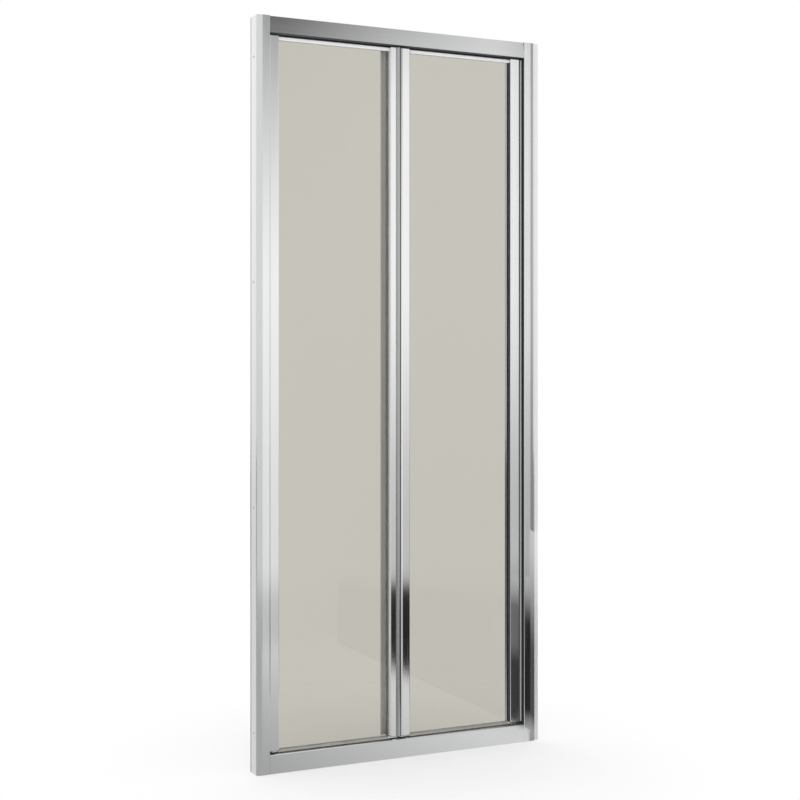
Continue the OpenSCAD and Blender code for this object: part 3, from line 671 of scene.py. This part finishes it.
def grow(name, tree, places, sizes, body, node, angle=40):
    """Runs a tree on (place, facing) pairs in millimetres and keeps the result as a plain mesh."""
    seeds = bpy.data.meshes.new(name + "_points")
    seeds.from_pydata([Vector(place) * MM for place, _ in places], [], [])
    facing = seeds.attributes.new("facing", "FLOAT_VECTOR", "POINT")
    for item, (_, way) in zip(facing.data, places):
        item.vector = way
    obj = bpy.data.objects.new(name, seeds)
    scene.collection.objects.link(obj)
    modifier = obj.modifiers.new("grow", "NODES")
    modifier.node_group = tree
    for item in tree.interface.items_tree:
        if item.item_type == "SOCKET" and item.in_out == "INPUT" and item.name in sizes:
            modifier[item.identifier] = sizes[item.name] * MM
    evaluated = obj.evaluated_get(bpy.context.evaluated_depsgraph_get())
    grown = bpy.data.meshes.new_from_object(evaluated)
    obj.modifiers.remove(modifier)
    obj.data = grown
    bpy.data.meshes.remove(seeds)
    shaded(grown, angle)
    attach(obj, body)
    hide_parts(node)
    print(f"{name}: {len(places)} copies, {len(grown.polygons)} faces, on {body}")


print("growing helpers ready")

# %% [markdown]
# ## The screw tree
# A screw is three simple forms. The head is a short cylinder whose top falls towards its rim. Two bars
# cut the cross from it. The shank is a cylinder too, and the thread comes from squeezing each point
# inwards by a wave that climbs as it goes round, which follows a helix without modelling one.

# %% Build the screw tree
HEAD_FALL = -0.55  # share of the head's height that its rim drops
BAR_REACH = 1.15  # length of the cross, as a share of the head's radius
BAR_LIFT = 0.95  # the bars' middle, as a share of the head's height
RINGS_A_TURN = 6.0  # of the thread
THREAD_DEPTH = 0.22  # share of the radius
POINT_LENGTH = 1.4  # in radii
POINT_START = 0.3  # share of the radius left at the tip
screw_tree, group_in, group_out = start_growth(
    "cross_head_screw", {"Head Radius": 0.0035, "Head Height": 0.0018, "Slot Width": 0.0009,
                         "Shank Radius": 0.0019, "Shank Length": 0.007, "Pitch": 0.0012})
tree, size = screw_tree, group_in.outputs
x, y, z, out_from_axis = point_axes(tree)

head = add_node(tree, "GeometryNodeMeshCylinder", fill_type="TRIANGLE_FAN", Vertices=28,
                Fill_Segments=5, Radius=size["Head Radius"], Depth=size["Head Height"])
share = math_node(tree, "DIVIDE", out_from_axis, size["Head Radius"])
fall = product(tree, math_node(tree, "POWER", share, 3.0), size["Head Height"], HEAD_FALL)
domed = add_node(tree, "GeometryNodeSetPosition", Geometry=head.outputs["Mesh"],
                 Selection=math_node(tree, "GREATER_THAN", z, 0.0), Offset=vector(tree, z=fall))
domed = raised(tree, domed.outputs["Geometry"], product(tree, size["Head Height"], 0.5))

long_side = product(tree, size["Head Radius"], BAR_REACH)
cut = add_node(tree, "GeometryNodeMeshBoolean", operation="DIFFERENCE", solver="EXACT")
tree.links.new(domed, cut.inputs[0])
for length, width in ((long_side, size["Slot Width"]), (size["Slot Width"], long_side)):
    bar = add_node(tree, "GeometryNodeMeshCube", Size=vector(tree, length, width, size["Head Height"]))
    bar = raised(tree, bar.outputs["Mesh"], product(tree, size["Head Height"], BAR_LIFT))
    tree.links.new(bar, cut.inputs[1])

turns = math_node(tree, "DIVIDE", size["Shank Length"], size["Pitch"])
shank = add_node(tree, "GeometryNodeMeshCylinder", fill_type="TRIANGLE_FAN", Vertices=14,
                 Side_Segments=product(tree, turns, RINGS_A_TURN), Radius=size["Shank Radius"],
                 Depth=size["Shank Length"])
round_turn = math_node(tree, "DIVIDE", math_node(tree, "ARCTAN2", y, x), 2 * math.pi)
phase = math_node(tree, "ADD", math_node(tree, "DIVIDE", z, size["Pitch"]), round_turn)
wave = math_node(tree, "PINGPONG", product(tree, phase, 2.0), 1.0)
thread = math_node(tree, "SUBTRACT", 1.0, product(tree, wave, THREAD_DEPTH))
tip = product(tree, size["Shank Length"], -0.5)
point = math_node(tree, "DIVIDE", math_node(tree, "SUBTRACT", z, tip),
                  product(tree, size["Shank Radius"], POINT_LENGTH))
point = math_node(tree, "MINIMUM", 1.0, math_node(tree, "ADD", point, POINT_START))
squeeze = product(tree, thread, point)
shaped = add_node(tree, "GeometryNodeSetPosition", Geometry=shank.outputs["Mesh"],
                  Position=vector(tree, product(tree, x, squeeze), product(tree, y, squeeze), z))
shaped = raised(tree, shaped.outputs["Geometry"], tip)
whole = add_node(tree, "GeometryNodeJoinGeometry")
tree.links.new(cut.outputs["Mesh"], whole.inputs[0])
tree.links.new(shaped, whole.inputs[0])
set_on_points(tree, group_in, group_out, whole.outputs["Geometry"], steel)
print("screw tree:", len(tree.nodes), "nodes")

# %% [markdown]
# ## Where each screw sits
# Each set is a list of places with the way that the head faces. The first holds the knuckles' brackets,
# the second the pivot blocks, the third the rails' ends to the jambs, and the last the jambs to the wall
# channels, from the shower side. One tree serves them all, because its sizes are inputs.

# %% Grow the screws
RIGHT, LEFT, UP, DOWN, BACK = (1, 0, 0), (-1, 0, 0), (0, 0, 1), (0, 0, -1), (0, 1, 0)
PAN_HEAD = {"Head Radius": 3.5, "Head Height": 1.8}
KNUCKLE_X, KNUCKLE_Y = -17.5, 4
KNUCKLE_LEVELS = (186.1, 222.1, 910.55, 946.55, 1635, 1671)
BLOCK_LINES = (315, 345.5)
BLOCK_FACES = ((44, UP), (1810, DOWN))
CORNER_LINES = ((-368.5, LEFT), (356, RIGHT))
CORNER_DEPTHS = (-17.4, 17.4)
CORNER_LEVELS = (14, 1828.75)
JAMB_LINES = (-392.5, 380)
JAMB_LEVELS = (200, 925, 1650)
JAMB_BACK = 23
jamb_places = [((x, JAMB_BACK, z), BACK) for x in JAMB_LINES for z in JAMB_LEVELS]

grow("knuckle_cross_screws", screw_tree,
     [((KNUCKLE_X, KNUCKLE_Y, z), RIGHT) for z in KNUCKLE_LEVELS],
     {**PAN_HEAD, "Shank Radius": 1.9, "Shank Length": 7.0, "Pitch": 0.8},
     "sliding_leaf", "knuckle_screws")
grow("pivot_block_cross_screws", screw_tree,
     [((x, 0, z), way) for x in BLOCK_LINES for z, way in BLOCK_FACES],
     {**PAN_HEAD, "Shank Radius": 2.0, "Shank Length": 18.0, "Pitch": 1.4},
     "frame", "pivot_block_screws")
grow("corner_cross_screws", screw_tree,
     [((x, y, z), way) for x, way in CORNER_LINES for y in CORNER_DEPTHS for z in CORNER_LEVELS],
     {"Head Radius": 3.5, "Head Height": 2.6, "Slot Width": 1.0, "Shank Radius": 1.95,
      "Shank Length": 25.0, "Pitch": 1.6},
     "frame", "corner_screws")
grow("jamb_cross_screws", screw_tree, jamb_places,
     {**PAN_HEAD, "Shank Radius": 1.75, "Shank Length": 12.68, "Pitch": 1.2},
     "frame", "jamb_screws")

# %% [markdown]
# ## Caps over the jamb screws
# Six domed caps hide the screws on the shower side. The tree shapes one cap from a disc with rings: its
# top follows a flat dome, and its underside is pushed up in the middle to leave room for the screw head.

# %% Build the cap tree and grow the caps
DOME_POWER = 2.6  # flat in the middle, steep at the rim
DOME_FALL = -0.8  # share of the cap's height that its rim drops
DOME_FROM = 0.001  # a point above this belongs to the top
cap_tree, group_in, group_out = start_growth(
    "domed_cap", {"Radius": 0.006, "Height": 0.0045, "Room Radius": 0.0041, "Room Height": 0.0022})
tree, size = cap_tree, group_in.outputs
disc = add_node(tree, "GeometryNodeMeshCylinder", fill_type="TRIANGLE_FAN", Vertices=48,
                Fill_Segments=12, Radius=size["Radius"], Depth=size["Height"])
disc = raised(tree, disc.outputs["Mesh"], product(tree, size["Height"], 0.5))
x, y, z, reach = point_axes(tree)
share = math_node(tree, "DIVIDE", reach, size["Radius"])
fall = product(tree, math_node(tree, "POWER", share, DOME_POWER), size["Height"], DOME_FALL)
lift = product(tree, math_node(tree, "LESS_THAN", reach, size["Room Radius"]), size["Room Height"])
change = add_node(tree, "ShaderNodeMix", data_type="FLOAT")
tree.links.new(math_node(tree, "GREATER_THAN", z, DOME_FROM), change.inputs[0])
tree.links.new(lift, change.inputs[2])
tree.links.new(fall, change.inputs[3])
cap = add_node(tree, "GeometryNodeSetPosition", Geometry=disc, Offset=vector(tree, z=change.outputs[0]))
set_on_points(tree, group_in, group_out, cap.outputs["Geometry"], cap_plastic)
grow("domed_screw_caps", cap_tree, jamb_places,
     {"Radius": 6.0, "Height": 4.5, "Room Radius": 4.1, "Room Height": 2.2},
     "frame", "screw_caps", angle=50)

# %% [markdown]
# ## Guide wheels
# A small nylon wheel at the top and at the bottom of the leading upright runs in the grooves. A wheel is
# turned, so its half section goes round its axle: a hub, a thinner web and a rim with a rounded tread.

# %% Turned wheels
def turned(name, section, centre, finish, sides=56):
    """A closed ring with a section of (radius, height) in millimetres, round an upright axis."""
    bm = bmesh.new()
    rings = []
    for i in range(sides):
        turn = 2 * math.pi * i / sides
        rings.append([bm.verts.new((Vector((r * math.cos(turn), r * math.sin(turn), h)) + centre) * MM)
                      for r, h in section])
    for i in range(sides):
        here, there = rings[i], rings[(i + 1) % sides]
        for j in range(len(section)):
            k = (j + 1) % len(section)
            bm.faces.new((here[j], there[j], there[k], here[k]))
    return piece_from(bm, name, finish)


half_section = [(3.05, 3.7), (3.35, 4.0), (4.5, 4.0), (4.8, 3.7), (4.9, 2.3), (5.2, 2.1), (5.9, 2.1),
                (6.15, 2.3), (6.2, 3.2), (6.45, 3.5), (6.9, 3.5), (7.3, 3.1), (7.5, 2.4)]
section = half_section + [(r, -h) for r, h in reversed(half_section)]
for end in ("top", "bottom"):
    low, high = box_mm(f"{end}_guide_wheel")
    centre = Vector([(a + b) / 2 for a, b in zip(low, high)])
    wheel = turned(f"{end}_turned_wheel", section, centre, nylon)
    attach(wheel, f"{end}_wheel")
    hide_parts(f"{end}_guide_wheel")
    print(f"{end} wheel {2 * section[0][0]:.1f} mm bore, {high[2] - low[2]:.1f} mm tall")

# %% [markdown]
# ## The studio
# Polished metal shows the room around it, so most of its look is made here. The floor and the background
# are white. What the metal mirrors are upright cards that only mirror rays see: a large pale wall in
# front of the door, and two dark cloths beside it. The cards glow by themselves, so that their tone is
# the tone that shows in the metal, whatever the lamp does.

# %% Stage helpers
def card(name, corners, material):
    """A flat stage card through four corners."""
    mesh = bpy.data.meshes.new(name)
    mesh.from_pydata([Vector(c) for c in corners], [], [(0, 1, 2, 3)])
    mesh.materials.append(material)
    obj = bpy.data.objects.new(name, mesh)
    scene.collection.objects.link(obj)
    return obj


def mirrored_card(name, start, end, start_top, end_top, material):
    """An upright card over a line on the floor, from start to end, that only mirror rays see."""
    obj = card(name, [(*start, 0), (*end, 0), (*end, end_top), (*start, start_top)], material)
    obj.visible_camera = False
    obj.visible_diffuse = False
    obj.visible_transmission = False
    obj.visible_shadow = False
    return obj


def start_glow(name):
    """A stage material that glows by itself, the socket of its strength and the card's coordinates."""
    material = bpy.data.materials.new(name)
    material.use_nodes = True
    tree = material.node_tree
    tree.nodes.remove(tree.nodes["Principled BSDF"])
    glow = add_node(tree, "ShaderNodeEmission", Color=(1, 1, 1, 1), Strength=1.0)
    feed(tree.nodes["Material Output"], Surface=glow.outputs[0])
    return material, tree, glow.inputs["Strength"], object_axes(tree)


print("stage helpers ready")

# %% [markdown]
# ## The wall that the metal mirrors
# Each point of the door's front mirrors one point of this wall, from x = 0.2 for the left jamb to
# x = 1.4 for the right one. So the tones that the metal has in the photograph are painted here like a
# backdrop: bright at eye height, dusk in the upper left, grey below, a greyer right end and a darker
# foot. What lies further left shows only in the bowed edges and the barrel, so there a light grey takes
# the place of the dusk. Each ramp gives where it starts and ends, and then its two values.

# %% Mirrored wall
WALL_START, WALL_END, WALL_TOP = (-2.6, -1.6), (4.0, -1.6), 3.6
PEAK = 0.95  # glow where no shade falls
DUSK_TOP = 2.55
DUSK_BEND = 1.3  # above 1, dusk comes slowly at first
wall_glow, tree, strength, (x, y, z) = start_glow("mirrored_wall")
dusk_foot = ramp(tree, x, 0.25, 0.79, 1.30, 2.0)
dusk = add_node(tree, "ShaderNodeMapRange", Value=z, From_Min=dusk_foot, From_Max=DUSK_TOP)
dusk = math_node(tree, "POWER", dusk.outputs["Result"], DUSK_BEND)
thinner_right = ramp(tree, x, 0.25, 1.25, 0.97, 0.28)
none_left = ramp(tree, x, -0.05, 0.22, 0.0, 1.0)
dusk = product(tree, dusk, thinner_right, none_left)
low_grey = product(tree, ramp(tree, z, 1.35, 0.35, 0.0, 0.42, "SMOOTHSTEP"),
                   ramp(tree, x, 0.25, 0.75, 0.33, 1.0))
left_grey = ramp(tree, x, 0.18, 0.02, 0.0, 0.24)
right_grey = ramp(tree, x, 1.33, 1.42, 0.0, 0.55)
foot = ramp(tree, z, 0.28, 0.12, 1.0, 0.70, "SMOOTHSTEP")
level = PEAK
for shade in (dusk, low_grey, left_grey, right_grey):
    level = product(tree, math_node(tree, "SUBTRACT", 1.0, shade), level)
tree.links.new(product(tree, level, foot), strength)
wall = mirrored_card("mirrored_wall", WALL_START, WALL_END, WALL_TOP, WALL_TOP, wall_glow)
print(f"{wall.name} is {WALL_END[0] - WALL_START[0]:.1f} m long and {WALL_TOP} m high")

# %% [markdown]
# ## Two dark cloths
# The uprights have dark bands near their feet, the image of something low and black at the right. The
# long cloth stands there, nearly square to the door. Its upper edge is soft, softer near the door, a
# paler fold breaks it up for the pivot upright, and a grey hem softens the foot of the right jamb. The
# short cloth closes the gap between it and the door, paler towards its top.

# %% Dark cloths
NEAR, MIDDLE, FAR = (0.42, -0.012), (0.435, -0.12), (0.49, -1.5)
NEAR_TOP, FAR_TOP = 0.42, 0.24  # of the long cloth, near the door and far from it
SHORT_TOP = 0.55
FOLD = (-0.30, -0.166)  # y of its two sides
FOLD_GLOW = (0.045, 0.15)
DARKEST = 0.015
black_glow, tree, strength, (x, y, z) = start_glow("black_cloth")
edge = ramp(tree, y, FAR[1], MIDDLE[1], FAR_TOP, NEAR_TOP)
softness = ramp(tree, y, -0.8, MIDDLE[1], 0.06, 0.14)
below = math_node(tree, "DIVIDE", math_node(tree, "SUBTRACT", edge, z), softness)
cloth = ramp(tree, below, 0.0, 1.0, 0.45, DARKEST, "SMOOTHSTEP")
fold = product(tree, inside(tree, y, *FOLD), ramp(tree, z, 0.17, 0.22, *FOLD_GLOW))
hem = product(tree, ramp(tree, z, 0.0, 0.06, 0.32, 0.0, "SMOOTHSTEP"),
              math_node(tree, "GREATER_THAN", y, FOLD[1]))
cloth = math_node(tree, "MAXIMUM", cloth, hem)
tree.links.new(math_node(tree, "MAXIMUM", cloth, fold), strength)
low_flag = mirrored_card("low_flag", MIDDLE, FAR, NEAR_TOP, FAR_TOP, black_glow)

grey_glow, tree, strength, (x, y, z) = start_glow("grey_cloth")
grey = ramp(tree, z, 0.20, SHORT_TOP, 0.08, 0.60, "SMOOTHSTEP")
hem = ramp(tree, z, 0.0, 0.08, 0.36, 0.0, "SMOOTHSTEP")
tree.links.new(math_node(tree, "MAXIMUM", grey, hem), strength)
side_flag = mirrored_card("side_flag", NEAR, MIDDLE, SHORT_TOP, SHORT_TOP, grey_glow)
print("the metal also mirrors", low_flag.name, "and", side_flag.name)

# %% [markdown]
# ## Floor
# The floor is white paint with a faint shadow close to the door, and it melts into the background
# further out: the camera meets the paint mixed with a white glow that takes over with distance. Mirror
# rays meet a grey glow instead, darker to the left, because the sill mirrors the floor and is grey in the
# photograph. The foot of the right jamb mirrors a darker patch. Its edge follows the way of the view
# after the jamb has mirrored it, so that the patch ends where the jamb does.

# %% Floor
FLOOR_HALF = 12.0
FLOOR_WHITE = (0.97, 0.97, 0.97, 1.0)
FLOOR_Z = -0.001
FADE = (0.2, 0.9)  # metres from the door's middle between which the glow takes over
GREY_FROM, GREY_TO = (-0.36, 0.40), (0.3, 0.68)  # x and glow of the mirrored floor
PATCH_EDGE, PATCH_SHADE = (0.3525, 0.3585), 0.36
MIRRORED_SLOPE = 0.606  # how far a mirrored view moves along X for each metre along Y
floor_paint, tree, shader = start_finish("floor_paint", Roughness=0.7, Base_Color=FLOOR_WHITE)
corners = ((-1, -1), (1, -1), (1, 1), (-1, 1))
card("floor", [(a * FLOOR_HALF, b * FLOOR_HALF, FLOOR_Z) for a, b in corners], floor_paint)
place = add_node(tree, "ShaderNodeTexCoord")
from_door = add_node(tree, "ShaderNodeVectorMath", operation="LENGTH")
tree.links.new(place.outputs["Object"], from_door.inputs[0])
fade = ramp(tree, from_door.outputs["Value"], *FADE, 0.45, 1.0, "SMOOTHSTEP")
ray = add_node(tree, "ShaderNodeLightPath")
seen = math_node(tree, "MAXIMUM", ray.outputs["Is Camera Ray"], ray.outputs["Is Transmission Ray"])
# A ray through the glass counts as glossy too, so a mirror ray is one that is glossy alone.
mirror = math_node(tree, "SUBTRACT", ray.outputs["Is Glossy Ray"], ray.outputs["Is Transmission Ray"])
mirror = math_node(tree, "MAXIMUM", mirror, 0.0)
share = math_node(tree, "MAXIMUM", product(tree, seen, fade), mirror)
x, y, z = object_axes(tree)
right_of_view = math_node(tree, "ADD", x, product(tree, y, MIRRORED_SLOPE))
patch = ramp(tree, right_of_view, *PATCH_EDGE, 0.0, PATCH_SHADE)
grey = ramp(tree, x, GREY_FROM[0], GREY_TO[0], GREY_FROM[1], GREY_TO[1])
mirrored = math_node(tree, "SUBTRACT", grey, patch)
strength = add_node(tree, "ShaderNodeMix", data_type="FLOAT")
tree.links.new(mirror, strength.inputs[0])
strength.inputs[2].default_value = 1.0
tree.links.new(mirrored, strength.inputs[3])
white = add_node(tree, "ShaderNodeEmission", Color=(1, 1, 1, 1), Strength=strength.outputs[0])
mix = add_node(tree, "ShaderNodeMixShader")
tree.links.new(share, mix.inputs[0])
tree.links.new(shader.outputs[0], mix.inputs[1])
tree.links.new(white.outputs[0], mix.inputs[2])
feed(tree.nodes["Material Output"], Surface=mix.outputs[0])

# %% [markdown]
# ## World
# The background is pure white for the camera and through the glass, and a shade less for the light that
# falls on the door. Mirror rays find it a little greyer near the horizon, so that edges which reflect
# past the cards don't flash.

# %% World
LIGHT_LEVEL = 0.96
HORIZON_GREY, HIGH_GREY = 0.24, 0.02
world = bpy.data.worlds.new("studio")
scene.world = world
world.use_nodes = True
tree = world.node_tree
background = tree.nodes["Background"]
background.inputs["Color"].default_value = (1, 1, 1, 1)
place = add_node(tree, "ShaderNodeTexCoord")
axes = add_node(tree, "ShaderNodeSeparateXYZ", Vector=place.outputs["Generated"])
sky = ramp(tree, axes.outputs["Z"], 0.0, 0.5, HORIZON_GREY, HIGH_GREY)
ray = add_node(tree, "ShaderNodeLightPath")
seen = math_node(tree, "MAXIMUM", ray.outputs["Is Camera Ray"], ray.outputs["Is Transmission Ray"])
level = ramp(tree, seen, 0.0, 1.0, LIGHT_LEVEL, 1.0)
mirror = math_node(tree, "SUBTRACT", ray.outputs["Is Glossy Ray"], seen)
mirror = math_node(tree, "MAXIMUM", 0.0, mirror)
level = math_node(tree, "SUBTRACT", level, product(tree, mirror, sky))
feed(background, Strength=level)
print(f"world white, light level {LIGHT_LEVEL}")

# %% [markdown]
# ## Lamp
# The white world lights everything evenly, so one large soft lamp is enough. It hangs high at the front
# left and gives the plain surfaces a direction. Mirror rays don't see it, or it would be a bright
# square in the metal.

# %% Key lamp
KEY_PLACE, KEY_TARGET = (-1.6, -2.4, 3.2), (0, 0, 0.9)
KEY_SIDE = 1.6
KEY_WATTS = 12
lamp = bpy.data.lights.new("key", "AREA")
lamp.shape = "RECTANGLE"
lamp.size = lamp.size_y = KEY_SIDE
lamp.energy = KEY_WATTS
key = bpy.data.objects.new("key", lamp)
scene.collection.objects.link(key)
key.location = KEY_PLACE
key.rotation_euler = (Vector(KEY_TARGET) - Vector(KEY_PLACE)).to_track_quat("-Z", "Y").to_euler()
key.visible_glossy = False
